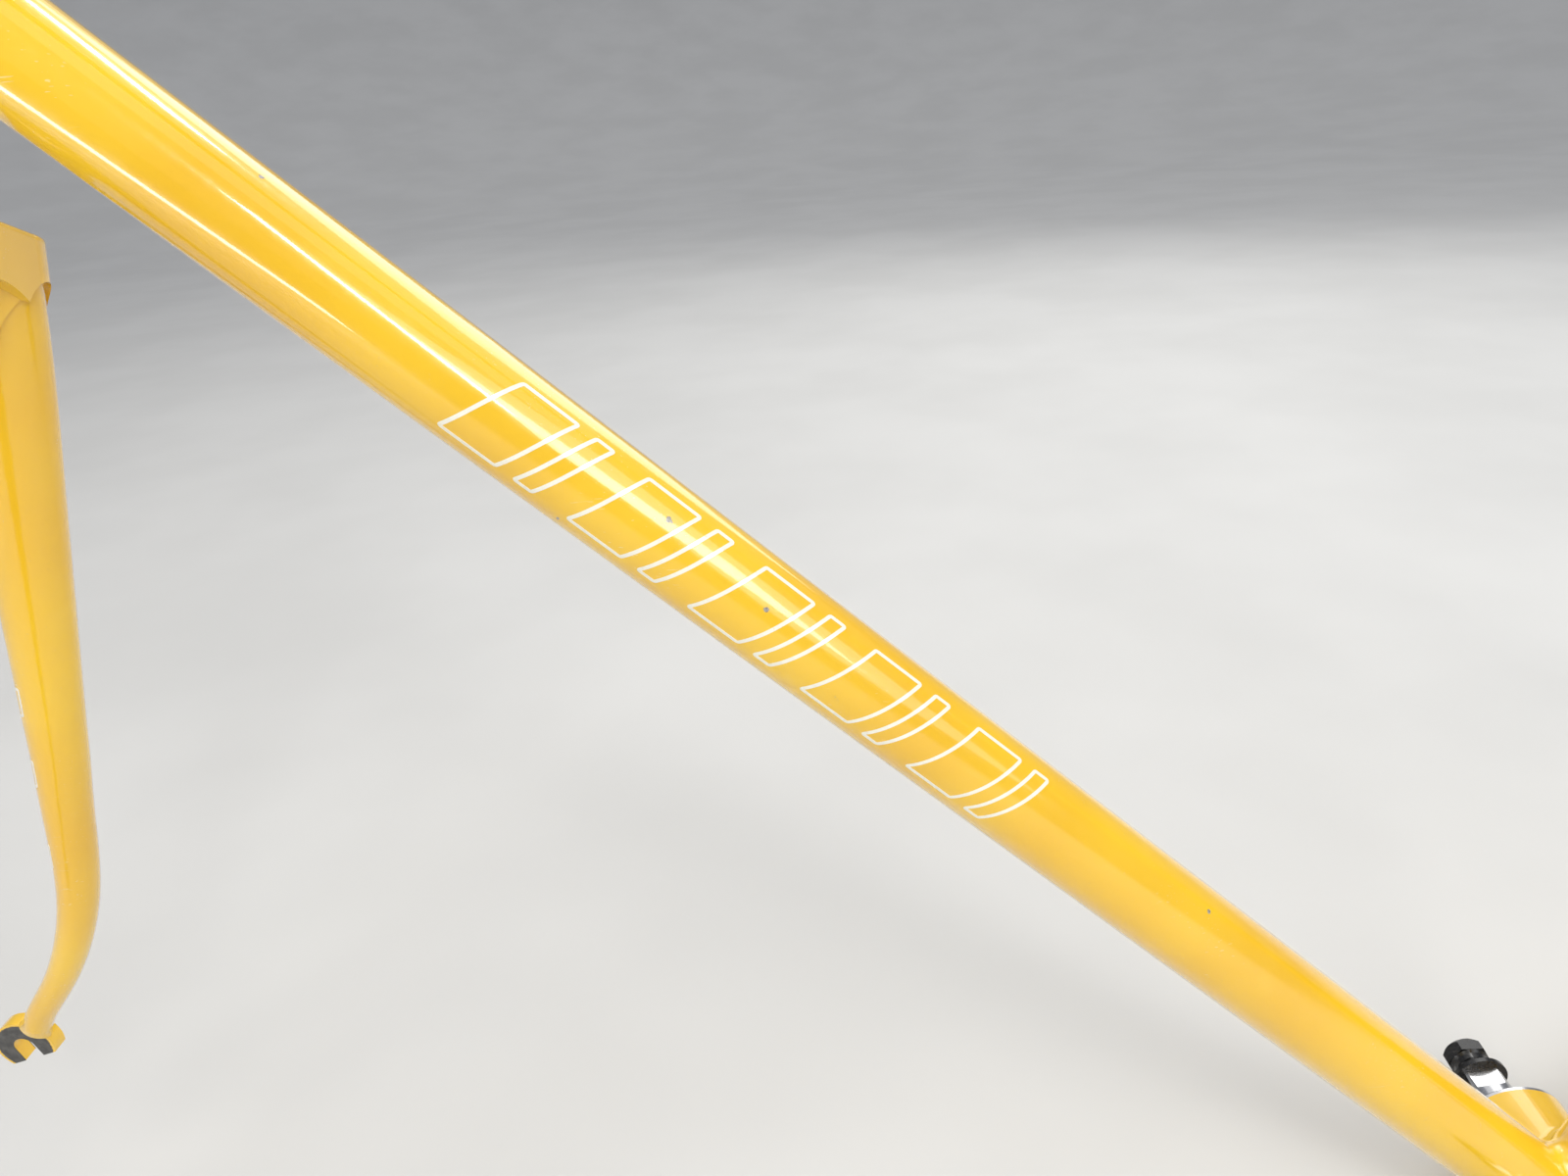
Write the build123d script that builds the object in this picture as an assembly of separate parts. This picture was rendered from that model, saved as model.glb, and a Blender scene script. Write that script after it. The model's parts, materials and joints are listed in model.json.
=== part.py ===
from build123d import *
import math
import os

# Lugless steel track frame with its fork, headset and bottom bracket.
# Origin at the middle of the bottom bracket, +X to the rear, +Y to the drive side, +Z up. Millimetres.

# Frame layout
HEAD_ANGLE = math.radians(74.0)
SEAT_ANGLE = math.radians(74.5)
FRONT_CENTRE = 599.5        # bottom bracket to front axle
FRONT_AXLE_RISE = 50.0
REAR_AXLE_RISE = 50.0
SEAT_LENGTH = 552.0         # along the seat tube to the top tube's centre line
SEAT_EXTENSION = 27.0       # seat tube above that point
HEAD_LENGTH = 165.0
DOWN_TUBE_HEIGHT = 46.9     # down tube's centre line above the crown race seat, along the steering axis
TOP_TUBE_DEPTH = 30.0       # top tube's centre line below the head tube's top

# Tube radii and walls
HEAD_RADIUS = 16.5
HEAD_BORE = 15.1
DOWN_RADIUS = 14.3
TOP_RADIUS = 12.7
SEAT_RADIUS = 14.3
SEATPOST_BORE = 13.6
SEATPOST_REACH = 150.0      # length reamed for the seatpost
SEAT_INNER = 13.35
WALL = 0.9
SHELL_RADIUS = 19.8
SHELL_BORE = 17.3
SHELL_HALF = 34.0
VENT_RADIUS = 4.0

# Brazing fillets
HEAD_FILLET = 5.0
TOP_FILLET = 6.0
SHELL_FILLET = 4.5

# Fork
FORK_LENGTH = 363.0         # front axle to crown race seat
FORK_RAKE = 31.0
BEND_RADIUS = 180.0
BEND_ANGLE = math.radians(22.5)
BLADE_TOP = (14.5, 10.5)    # half width fore and aft, half width across
BLADE_END = (5.4, 5.9)
BLADE_SLIM = 1.0            # how much slimmer than a straight taper half way down
BLADE_TAPER_START = 60.0
BLADE_SPREAD = (28.5, 52.2)  # blade centre to fork centre at the crown race seat and at the axle
BLADE_BOW = 1.5
BLADE_FIRST = 27.0          # where the blade starts inside its socket
BLADE_STOP = 16.0           # gap from the blade's end to the axle
BLADE_SECTIONS = 15
STEERER_RADIUS = 12.7
STEERER_BORE = 11.1
CROWN_RADIUS = 17.0
CROWN_DEPTH = 27.0
CROWN_SLOPE = math.radians(21.0)
CROWN_PEAK = -7.4           # where the shoulders' slopes would meet, from the crown race seat
CROWN_EDGE = 1.5
SOCKET_WALL = 1.6
SCALLOP_TOP = 32.0          # crown race seat to the sockets' arched edges
FRONT_SPACING = 50.0        # half the distance between the fork tips
TIP_THICKNESS = 6.5
TIP_RADIUS = 12.5
AXLE_SLOT = 4.65            # half the width of the slot for the front axle
TIP_SLOT_TILT = math.radians(17.0)
TIP_LEG = 6.5               # fork tip below the axle, along its slot

# Rear end
REAR_SPACING = 60.0
END_THICKNESS = 6.5
END_SLOT = 5.1
END_SLOT_FRONT = 372.0
END_SLOT_OPEN = 408.0
CHAINSTAY_START = (14.0, 22.0, 2.0)
CHAINSTAY_END = (352.0, 63.25, 46.8)
SEATSTAY_MEET = 550.0       # along the seat tube to the middle of the seatstays' sloping tops
SEATSTAY_TOP = (5.0, 20.6)  # behind the seat tube's centre line, and to the side
SEATSTAY_BEYOND = 25.0      # how far a seatstay runs past that before it is cut to its slope
SEATSTAY_END = (370.5, 63.25, 68.0)
SEATSTAY_RADII = (7.0, 5.6)
CAP_THICKNESS = 1.2
BRIDGE_RISE = 326.0         # from the track end up the seatstay to its bridge

# Headset: stack heights are along the steering axis from the crown race seat
LOWER_STACK = 13.0
HEADSET_BALL = 1.98
HEADSET_PITCH = 16.4
HEADSET_BALL_HEIGHT = 6.6
HEADSET_BALLS = 20
RUNNING_FIT = 0.06

# Bottom bracket
SPINDLE_RADIUS = 8.5
SPINDLE_HALF = 55.5
SQUARE_HALF = 6.35          # half the width of the square at the spindle's end
SQUARE_GROWTH = math.tan(math.radians(2.0))
SQUARE_TURN = -12.0         # degrees about the spindle, at rest
BEARING_MIDDLE = 29.7
BEARING_HALF = 3.5
BEARING_BALL = 1.75
BEARING_PITCH = 11.25
BEARING_BALLS = 12
SLEEVE_BORE = 14.0
SLEEVE_RADIUS = 15.6
CUP_FLANGE = 1.8

# Main points, worked out from the layout
FRONT_AXLE = Vector(-math.sqrt(FRONT_CENTRE**2 - FRONT_AXLE_RISE**2), 0, FRONT_AXLE_RISE)
UP_STEERER = Vector(math.cos(HEAD_ANGLE), 0, math.sin(HEAD_ANGLE))
BEHIND_STEERER = Vector(math.sin(HEAD_ANGLE), 0, -math.cos(HEAD_ANGLE))
FORK_REACH = math.sqrt(FORK_LENGTH**2 - FORK_RAKE**2)
CROWN_SEAT = FRONT_AXLE + BEHIND_STEERER * FORK_RAKE + UP_STEERER * FORK_REACH
STEERING = Plane(origin=CROWN_SEAT, x_dir=BEHIND_STEERER, z_dir=UP_STEERER)
HEAD_LOW = LOWER_STACK
HEAD_HIGH = LOWER_STACK + HEAD_LENGTH
UP_SEAT = Vector(math.cos(SEAT_ANGLE), 0, math.sin(SEAT_ANGLE))
SEAT_TOP = UP_SEAT * (SEAT_LENGTH + SEAT_EXTENSION)
BRACKET = Vector(0, 0, 0)
SPINDLE = Plane(origin=BRACKET, x_dir=(1, 0, 0), z_dir=(0, 1, 0))
SIDES = (("left", -1), ("right", 1))


def save(shape, node):
    """Write one piece to its own file."""
    export_step(shape, f"parts/{node}.step")


def rod(start, end, radius):
    """A round bar between two points."""
    run = Vector(*end) - Vector(*start)
    place = Plane(origin=start, z_dir=run)
    return place * Cylinder(radius, run.length, align=(Align.CENTER, Align.CENTER, Align.MIN))


def turned(*outline):
    """A solid of revolution about Z, from (radius, height) corners."""
    corners = [(radius, 0, height) for radius, height in outline]
    return revolve(make_face(Polyline(*corners, close=True)), Axis.Z, 360)


def ring(outer, inner, low, high):
    """A plain ring about Z."""
    return turned((inner, low), (outer, low), (outer, high), (inner, high))


def groove(pitch, height, radius):
    """The round ring that balls roll in."""
    return Pos(0, 0, height) * Torus(pitch, radius)


def ball_ring(pitch, height, radius, count):
    """Balls spaced evenly round Z."""
    seats = [math.tau * number / count for number in range(count)]
    return [Pos(pitch * math.cos(seat), pitch * math.sin(seat), height) * Sphere(radius) for seat in seats]


def without(shape, cutters):
    """A shape with several others cut out of it."""
    for cutter in cutters:
        shape = shape - cutter
    return shape


def ellipse_loft(planes, radii):
    """A smooth solid through ellipses, one on each plane."""
    return loft([place * Ellipse(across, along) for place, (across, along) in zip(planes, radii)])


def bead(solids, radius):
    """The filler metal in the corner where tubes meet, with a concave face."""
    joined = solids[0]
    for solid in solids[1:]:
        joined = joined + solid
    plain = (GeomType.LINE, GeomType.CIRCLE)
    seam = [edge for edge in joined.edges() if edge.geom_type not in plain]
    return without(joined.fillet(radius, seam), solids)


def mirrored(shape, side):
    """The drive-side shape, or its mirror image for the left."""
    return shape if side > 0 else shape.mirror(Plane.XZ)


# ---------------------------------------------------------------- frame tubes

DOWN_TOP = CROWN_SEAT + UP_STEERER * DOWN_TUBE_HEIGHT
TOP_FRONT = CROWN_SEAT + UP_STEERER * (HEAD_HIGH - TOP_TUBE_DEPTH)
TOP_REAR = UP_SEAT * SEAT_LENGTH
HEAD_BAR = rod(STEERING.from_local_coords((0, 0, HEAD_LOW)), STEERING.from_local_coords((0, 0, HEAD_HIGH)),
               HEAD_RADIUS)
DOWN_BAR = rod(DOWN_TOP, BRACKET, DOWN_RADIUS)
TOP_BAR = rod(TOP_FRONT, TOP_REAR, TOP_RADIUS)
SEAT_BAR = rod(BRACKET, SEAT_TOP, SEAT_RADIUS)
SHELL_BAR = rod((0, -SHELL_HALF, 0), (0, SHELL_HALF, 0), SHELL_RADIUS)


def head_tube():
    vents = [rod(DOWN_TOP, BRACKET, VENT_RADIUS), rod(TOP_FRONT, TOP_REAR, VENT_RADIUS)]
    return without(STEERING * ring(HEAD_RADIUS, HEAD_BORE, HEAD_LOW, HEAD_HIGH), vents)


def down_tube():
    hollow = rod(DOWN_TOP, BRACKET, DOWN_RADIUS - WALL)
    return without(DOWN_BAR, [hollow, HEAD_BAR, SEAT_BAR, SHELL_BAR])


def top_tube():
    return without(TOP_BAR, [rod(TOP_FRONT, TOP_REAR, TOP_RADIUS - WALL), HEAD_BAR, SEAT_BAR])


def seat_tube():
    """The seat tube, reamed for the seatpost, with a slot behind its top that the binder closes."""
    slot_length = 38.0
    slot_half = 1.5
    ream = rod(SEAT_TOP - UP_SEAT * SEATPOST_REACH, SEAT_TOP + UP_SEAT, SEATPOST_BORE)
    inner = rod(BRACKET, SEAT_TOP, SEAT_INNER)
    behind = Plane(origin=SEAT_TOP, x_dir=(0, 1, 0), z_dir=UP_SEAT)
    slot = behind * Pos(0, -SEAT_RADIUS, -slot_length / 2) * Box(2 * slot_half, SEAT_RADIUS, slot_length)
    relief_place = SEAT_TOP - UP_SEAT * slot_length
    relief = rod(relief_place, relief_place + Vector(UP_SEAT.Z, 0, -UP_SEAT.X) * 2 * SEAT_RADIUS, 2.5)
    return without(SEAT_BAR, [inner, ream, SHELL_BAR, slot, relief])


def bb_shell():
    barrel = SHELL_BAR - rod((0, -SHELL_HALF, 0), (0, SHELL_HALF, 0), SHELL_BORE)
    vents = [rod(BRACKET, DOWN_TOP, VENT_RADIUS), rod(BRACKET, UP_SEAT * 2 * SHELL_RADIUS, VENT_RADIUS)]
    return without(barrel, vents)


# ---------------------------------------------------------------- rear triangle

def along(start, end, share):
    return Vector(*start) + (Vector(*end) - Vector(*start)) * share


def chainstay_bar(shrink=0.0, side=1):
    """A chainstay: round at the shell, tall and narrow beside the tyre, slim at the track end."""
    shares = (0.0, 0.12, 0.24, 0.45, 0.72, 1.0)
    radii = ((11.0, 11.0), (8.6, 12.0), (8.4, 11.8), (9.0, 9.6), (7.8, 8.0), (6.4, 6.4))
    run = Vector(*CHAINSTAY_END) - Vector(*CHAINSTAY_START)
    across = Vector(0, 0, 1).cross(run).normalized()
    last = 1.0 - (10.0 / run.length if shrink else 0.0)
    planes = [Plane(origin=along(CHAINSTAY_START, CHAINSTAY_END, share * last), x_dir=across, z_dir=run)
              for share in shares]
    bar = ellipse_loft(planes, [(a - shrink, b - shrink) for a, b in radii])
    if not shrink:
        bar = bar + Pos(*CHAINSTAY_END) * Sphere(radii[-1][0])
    return mirrored(bar, side)


def seatstay_line():
    """The middle of the drive-side seatstay's sloping top, and its lower end."""
    top = UP_SEAT * SEATSTAY_MEET + Vector(SEATSTAY_TOP[0], SEATSTAY_TOP[1], 0)
    return top, Vector(*SEATSTAY_END)


def seatstay_bar(shrink=0.0):
    """A drive-side seatstay before its top is cut: tapered, with a round closed end."""
    top, end = seatstay_line()
    start = top + (top - end).normalized() * SEATSTAY_BEYOND
    stop = 10.0 if shrink else 0.0
    length = (end - start).length - stop
    wide, slim = (radius - shrink for radius in SEATSTAY_RADII)
    place = Plane(origin=start, z_dir=end - start)
    bar = place * Cone(wide, slim, length, align=(Align.CENTER, Align.CENTER, Align.MIN))
    return bar if shrink else bar + Pos(*end) * Sphere(slim)


def beyond_cap(offset):
    """All that lies past the sloping cut across a seatstay's top, moved in by an offset."""
    top, end = seatstay_line()
    facing = (top - end).normalized() * 0.6 + Vector(0.2, 0.9, 0)
    block = 120.0
    return Plane(origin=top, z_dir=facing) * Pos(0, 0, block / 2 - offset) * Box(block, block, block)


def seatstay_solid():
    """The drive-side seatstay with its cap, before it is hollowed."""
    return without(seatstay_bar(), [beyond_cap(0), SEAT_BAR])


def seatstay(side):
    bar = without(seatstay_solid(), [seatstay_bar(WALL), beyond_cap(CAP_THICKNESS), track_end_plate(1)])
    return mirrored(bar, side)


def seatstay_caps():
    """The two thin caps that close the seatstays' sloping tops."""
    cap = seatstay_solid() & beyond_cap(CAP_THICKNESS)
    return Compound([mirrored(cap, side) for _, side in SIDES])


def braze_seat_top():
    """The filler round the top tube at the seat tube, stopping at the seatstays."""
    stay = seatstay_solid()
    return without(bead([SEAT_BAR, TOP_BAR], TOP_FILLET), [stay, mirrored(stay, -1)])


def chainstay(side):
    bar = without(chainstay_bar(), [chainstay_bar(WALL), SHELL_BAR, SEAT_BAR, track_end_plate(1)])
    return mirrored(bar, side)


def bridge(middle, radius, stays):
    """A short tube from one stay to the other."""
    half = 40.0
    ends = (Vector(middle.X, -half, middle.Z), Vector(middle.X, half, middle.Z))
    tube = rod(*ends, radius) - rod(*ends, radius - 1.2)
    for stay in stays:
        tube = tube - stay - stay.mirror(Plane.XZ)
    return min(tube.solids(), key=lambda solid: abs(solid.center().Y))


def seatstay_bridge():
    """Above the tyre, about 348 mm from the rear axle."""
    top, end = seatstay_line()
    middle = end + (top - end).normalized() * BRIDGE_RISE
    return bridge(middle, 5.0, [seatstay_bar()])


def chainstay_bridge():
    """Between the shell and the tyre."""
    middle = along(CHAINSTAY_START, CHAINSTAY_END, 0.075)
    return bridge(middle, 5.0, [chainstay_bar()])


def link(start, end, radius):
    """A flat capsule from one (x, z) point to another, in the X-Z plane."""
    first, last = Vector(start[0], 0, start[1]), Vector(end[0], 0, end[1])
    across = Vector(0, 1, 0).cross(last - first).normalized() * radius
    outline = make_face(Polyline(first + across, last + across, last - across, first - across, close=True))
    bar = extrude(outline, amount=END_THICKNESS, dir=(0, 1, 0))
    return bar + disc(first, radius) + disc(last, radius)


def disc(middle, radius):
    place = Plane(origin=middle, z_dir=(0, 1, 0))
    return place * Cylinder(radius, END_THICKNESS, align=(Align.CENTER, Align.CENTER, Align.MIN))


def track_end_plate(side):
    """A flat track end with a slot open to the rear and a tongue into each stay."""
    height = REAR_AXLE_RISE
    body = link((END_SLOT_FRONT, height), (END_SLOT_OPEN - 9.0, height), 12.5)
    chain_tongue = link((END_SLOT_FRONT, height), (CHAINSTAY_END[0] - 8.0, CHAINSTAY_END[2] - 1.0), 5.2)
    stay_tongue = link((END_SLOT_FRONT, height + 2.0), (SEATSTAY_END[0] - 2.0, SEATSTAY_END[2] + 4.0), 3.4)
    blank = body + chain_tongue + stay_tongue
    slot = link((END_SLOT_FRONT, height), (END_SLOT_OPEN + 10.0, height), END_SLOT)
    rear = Pos(END_SLOT_OPEN + 10.0, 0, height) * Box(20.0, 4 * END_THICKNESS, 60.0)
    plate = Pos(0, REAR_SPACING, 0) * without(blank, [slot, rear])
    return mirrored(plate, side)


# ---------------------------------------------------------------- seat binder

BINDER_HEIGHT = SEAT_LENGTH + SEAT_EXTENSION - 9.0
BINDER_BACK = 19.5
BINDER_BOLT = 3.0
EAR_RADIUS = 6.0
EAR_END = 9.5


def binder_point(across):
    back = Vector(UP_SEAT.Z, 0, -UP_SEAT.X) * BINDER_BACK
    return UP_SEAT * BINDER_HEIGHT + back + Vector(0, across, 0)


def seat_binder_ears():
    """Two ears behind the seat tube's top, either side of its slot."""
    ears = []
    for _, side in SIDES:
        barrel = rod(binder_point(1.5 * side), binder_point(EAR_END * side), EAR_RADIUS)
        foot_place = Plane(origin=binder_point(1.5 * side), x_dir=(UP_SEAT.Z, 0, -UP_SEAT.X), z_dir=(0, side, 0))
        foot = foot_place * Pos(-4.0, 0, 3.0) * Box(8.0, 2 * EAR_RADIUS, 6.0)
        ears.append(without(barrel + foot, [SEAT_BAR, rod(binder_point(-20), binder_point(20), BINDER_BOLT)]))
    return Compound(ears)


def seat_binder_bolt():
    """A hex-socket bolt through both ears, its head on the left."""
    shank = rod(binder_point(-EAR_END), binder_point(EAR_END), BINDER_BOLT)
    head = rod(binder_point(-EAR_END - 4.5), binder_point(-EAR_END), 5.0)
    socket_place = Plane(origin=binder_point(-EAR_END - 4.5), z_dir=(0, 1, 0))
    socket = socket_place * extrude(RegularPolygon(2.9, 6), amount=3.0)
    return shank + head - socket


def seat_binder_nut():
    """The round nut on the bolt's drive-side end."""
    nut = rod(binder_point(EAR_END), binder_point(EAR_END + 4.5), 5.0)
    socket_place = Plane(origin=binder_point(EAR_END + 2.0), z_dir=(0, 1, 0))
    return nut - socket_place * extrude(RegularPolygon(2.9, 6), amount=3.0)


# ---------------------------------------------------------------- headset

GROOVE_RADIUS = HEADSET_BALL + RUNNING_FIT


def lower_cup_shape():
    """The cup pressed into the head tube, open downwards over the balls."""
    bowl = turned((13.9, 21.0), (13.9, 11.5), (15.4, 9.4), (16.6, 7.4), (18.0, 6.2), (19.3, 5.6), (19.3, 3.0),
                  (20.4, 3.0), (20.6, 5.0), (20.4, 8.0), (19.4, 10.6), (17.6, LOWER_STACK),
                  (HEAD_BORE, LOWER_STACK), (HEAD_BORE, 21.0))
    return bowl - groove(HEADSET_PITCH, HEADSET_BALL_HEIGHT, GROOVE_RADIUS)


def lower_cone_shape():
    """The cone below the balls, with a shoulder that sits on the crown."""
    cone = turned((13.2, 0), (18.5, 0), (18.5, 1.8), (17.0, 3.6), (16.0, 5.0), (15.2, 6.2), (14.0, 7.8), (13.2, 7.8))
    return cone - groove(HEADSET_PITCH, HEADSET_BALL_HEIGHT, GROOVE_RADIUS)


def retainer_shape():
    """The pressed ring that spaces the balls, sloping across the gap between cup and cone."""
    half, thick = 1.6, 0.35
    low = (HEADSET_PITCH + half, HEADSET_BALL_HEIGHT - half)
    high = (HEADSET_PITCH - half, HEADSET_BALL_HEIGHT + half)
    band = turned((low[0] - thick, low[1] - thick), (low[0] + thick, low[1] + thick),
                  (high[0] + thick, high[1] + thick), (high[0] - thick, high[1] - thick))
    return without(band, ball_ring(HEADSET_PITCH, HEADSET_BALL_HEIGHT, GROOVE_RADIUS, HEADSET_BALLS))


def at_lower(shape):
    return STEERING * shape


def at_upper(shape):
    """A lower headset piece turned over to the top of the head tube."""
    return STEERING * Pos(0, 0, HEAD_LOW + HEAD_HIGH) * Rot(180, 0, 0) * shape


CONE_BASE = HEAD_LOW + HEAD_HIGH    # where the top cone's shoulder starts
WASHER_LOW = CONE_BASE + 6.0
LOCKNUT_LOW = WASHER_LOW + 1.6
STEERER_TOP = LOCKNUT_LOW + 5.6
KEYWAY = (2.0, 1.2)                 # half width and depth


def keyway():
    """The groove along the back of the steerer's thread that stops the washer turning."""
    half, depth = KEYWAY
    middle = STEERER_RADIUS - depth + 2.0
    return Pos(middle, 0, STEERER_TOP) * Box(4.0, 2 * half, 40.0)


def headset_top_cone():
    """The adjustable cone, screwed on the steerer, with a fluted grip."""
    seat = turned((STEERER_RADIUS, 0), (18.5, 0), (18.5, 1.8), (17.0, 3.6), (16.0, 5.0), (15.2, 6.2), (14.0, 7.8),
                  (STEERER_RADIUS, 7.8)) - groove(HEADSET_PITCH, HEADSET_BALL_HEIGHT, GROOVE_RADIUS)
    grip = STEERING * turned((STEERER_RADIUS, CONE_BASE), (18.5, CONE_BASE), (19.4, CONE_BASE + 0.8),
                             (19.4, WASHER_LOW - 0.8), (18.6, WASHER_LOW), (STEERER_RADIUS, WASHER_LOW))
    flutes = 24
    for number in range(flutes):
        turn = Rot(0, 0, 360 * number / flutes)
        grip = grip - STEERING * turn * Pos(20.2, 0, CONE_BASE + 3.0) * Cylinder(1.3, 8.0)
    return at_upper(seat) + grip


def headset_washer():
    """The keyed washer between cone and locknut."""
    half, depth = KEYWAY
    washer = ring(17.5, STEERER_RADIUS, WASHER_LOW, LOCKNUT_LOW)
    key = Pos(STEERER_RADIUS - depth / 2 + 0.5, 0, (WASHER_LOW + LOCKNUT_LOW) / 2)
    key = key * Box(depth + 1.0, 2 * half, LOCKNUT_LOW - WASHER_LOW)
    return STEERING * (washer + key)


def headset_locknut():
    """The hexagonal locknut, with a lip over the steerer's end."""
    flats_half = 16.0
    body = Pos(0, 0, LOCKNUT_LOW) * extrude(RegularPolygon(flats_half, 6, major_radius=False), amount=5.6)
    chamfered = turned((0, LOCKNUT_LOW - 1), (18.0, LOCKNUT_LOW - 1), (18.6, LOCKNUT_LOW + 4.0),
                       (16.4, LOCKNUT_LOW + 5.6), (0, LOCKNUT_LOW + 5.6))
    lip = turned((0, STEERER_TOP), (14.6, STEERER_TOP), (13.8, STEERER_TOP + 1.6), (0, STEERER_TOP + 1.6))
    bored = (body & chamfered) + lip
    bored = bored - ring(STEERER_RADIUS, 0, LOCKNUT_LOW - 1, STEERER_TOP)
    return STEERING * (bored - ring(STEERER_BORE + 0.3, 0, STEERER_TOP - 1, STEERER_TOP + 3))


# ---------------------------------------------------------------- fork

STRAIGHT_END = (FORK_RAKE - BEND_RADIUS * (1 - math.cos(BEND_ANGLE))) / math.sin(BEND_ANGLE)
STRAIGHT_TOP = FORK_REACH - BEND_RADIUS * math.sin(BEND_ANGLE) - STRAIGHT_END * math.cos(BEND_ANGLE)
BLADE_RUN = STRAIGHT_TOP + BEND_RADIUS * BEND_ANGLE + STRAIGHT_END


def blade_plane(run):
    """The plane across the drive-side blade, a distance along its centre line from the crown race seat."""
    bent = min(max(run - STRAIGHT_TOP, 0) / BEND_RADIUS, BEND_ANGLE)
    past = max(run - STRAIGHT_TOP - BEND_RADIUS * BEND_ANGLE, 0)
    drop = min(run, STRAIGHT_TOP) + BEND_RADIUS * math.sin(bent) + past * math.cos(bent)
    forward = BEND_RADIUS * (1 - math.cos(bent)) + past * math.sin(bent)
    share = run / BLADE_RUN
    spread = BLADE_SPREAD[0] + (BLADE_SPREAD[1] - BLADE_SPREAD[0]) * share + BLADE_BOW * 4 * share * (1 - share)
    fore = BEHIND_STEERER * -math.cos(bent) + UP_STEERER * math.sin(bent)
    origin = STEERING.from_local_coords((-forward, spread, -drop))
    return Plane(origin=origin, x_dir=fore, z_dir=fore.cross(Vector(0, 1, 0)))


def blade_radii(run, shrink=0.0):
    """Half widths of the blade's oval section, fore and aft and across."""
    taper = max(run - BLADE_TAPER_START, 0) / (BLADE_RUN - BLADE_STOP - BLADE_TAPER_START)
    long_half = BLADE_TOP[0] + (BLADE_END[0] - BLADE_TOP[0]) * taper - BLADE_SLIM * 4 * taper * (1 - taper)
    wide_half = BLADE_TOP[1] + (BLADE_END[1] - BLADE_TOP[1]) * taper
    return long_half - shrink, wide_half - shrink


def blade_bar(first, last, shrink=0.0):
    """The drive-side blade as a solid of oval sections."""
    step = (last - first) / (BLADE_SECTIONS - 1)
    runs = [first + step * number for number in range(BLADE_SECTIONS)]
    return ellipse_loft([blade_plane(run) for run in runs], [blade_radii(run, shrink) for run in runs])


BLADE_SOLID = blade_bar(BLADE_FIRST, BLADE_RUN - BLADE_STOP)
BLADE_HOLLOW = blade_bar(BLADE_FIRST, BLADE_RUN - BLADE_STOP, WALL)


def fork_blade(side):
    return mirrored(BLADE_SOLID - BLADE_HOLLOW, side)


def steerer():
    tube = ring(STEERER_RADIUS, STEERER_BORE, -CROWN_DEPTH, STEERER_TOP)
    return STEERING * (tube - keyway())


def socket_bar(side):
    """One blade socket before trimming: an oval bar round the blade's top."""
    runs = (8.0, 40.0, 78.0)
    radii = [tuple(half + SOCKET_WALL for half in blade_radii(run)) for run in runs]
    return mirrored(ellipse_loft([blade_plane(run) for run in runs], radii), side)


def scallop(side):
    """The cut that shapes a socket's lower edge: an arch front and back, and a tang on each side of the blade."""
    arch_half, arch_height = 10.3, 16.0
    spring = SCALLOP_TOP + arch_height
    tip = spring + 13.0
    wide = blade_radii(tip)[1] + SOCKET_WALL + 0.3
    middle = blade_plane(spring).origin
    lean = (blade_plane(tip).origin - middle).normalized()
    place = Plane(origin=middle, x_dir=BEHIND_STEERER.cross(lean), z_dir=BEHIND_STEERER)
    flare = Polyline((arch_half, 0), (-arch_half, 0), (-wide, spring - tip), (-wide, -60), (wide, -60),
                     (wide, spring - tip), close=True)
    outline = Ellipse(arch_half, arch_height) + make_face(flare)
    return mirrored(extrude(place * outline, amount=40, both=True), side)


def shoulder_height(across):
    """Height of the crown's sloping top at a distance across from its middle."""
    return CROWN_PEAK - abs(across) * math.tan(CROWN_SLOPE)


def on_shoulder(edge):
    """Whether an edge lies on the crown's sloping top."""
    for share in (0.02, 0.5, 0.98):
        spot = STEERING.to_local_coords(edge.position_at(share))
        if abs(spot.Z - shoulder_height(spot.Y)) > 0.02:
            return False
    return abs(STEERING.to_local_coords(edge.position_at(0.5)).Y) > 1.0


def crown_shoulders():
    """The two arms and their socket bars under one sloping top, with its outer edge rounded."""
    reach = 50.0
    profile = Polyline((0, 0, CROWN_PEAK), (0, reach, shoulder_height(reach)), (0, reach, -100),
                       (0, -reach, -100), (0, -reach, shoulder_height(reach)), close=True)
    below_top = Pos(-40, 0, 0) * extrude(make_face(profile), amount=80, dir=(1, 0, 0))
    socket_y = BLADE_SPREAD[0] + 1.5
    socket_x = BLADE_TOP[0] + SOCKET_WALL
    waist = CROWN_RADIUS - 0.6
    band = make_face(Polyline((waist, 0), (socket_x, socket_y), (-socket_x, socket_y), (-waist, 0),
                              (-socket_x, -socket_y), (socket_x, -socket_y), close=True))
    tyre_arch = Pos(0, 0, -CROWN_DEPTH - 31.0) * Rot(0, 90, 0) * Cylinder(33.0, 90)
    arms = STEERING * ((extrude(band, amount=-60) & below_top) - tyre_arch)
    for _, side in SIDES:
        arms = arms + (socket_bar(side) & STEERING * below_top)
    return arms.fillet(CROWN_EDGE, [edge for edge in arms.edges() if on_shoulder(edge)])


def fork_crown():
    """The sloping crown, with a scalloped socket round the top of each blade."""
    boss = STEERING * turned((0, -CROWN_DEPTH), (CROWN_RADIUS, -CROWN_DEPTH), (CROWN_RADIUS, -0.8),
                             (CROWN_RADIUS - 0.8, 0), (0, 0))
    bore = STEERING * ring(STEERER_RADIUS, 0, -CROWN_DEPTH - 10, 5)
    blades = [mirrored(BLADE_SOLID, side) for _, side in SIDES]
    scallops = [scallop(side) for _, side in SIDES]
    return without(crown_shoulders() + boss, [*scallops, bore, *blades])


def tip_disc(radius, near, far):
    """A round plate about the front axle, between two distances from the fork's middle."""
    return rod(FRONT_AXLE + Vector(0, near, 0), FRONT_AXLE + Vector(0, far, 0), radius)


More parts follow.
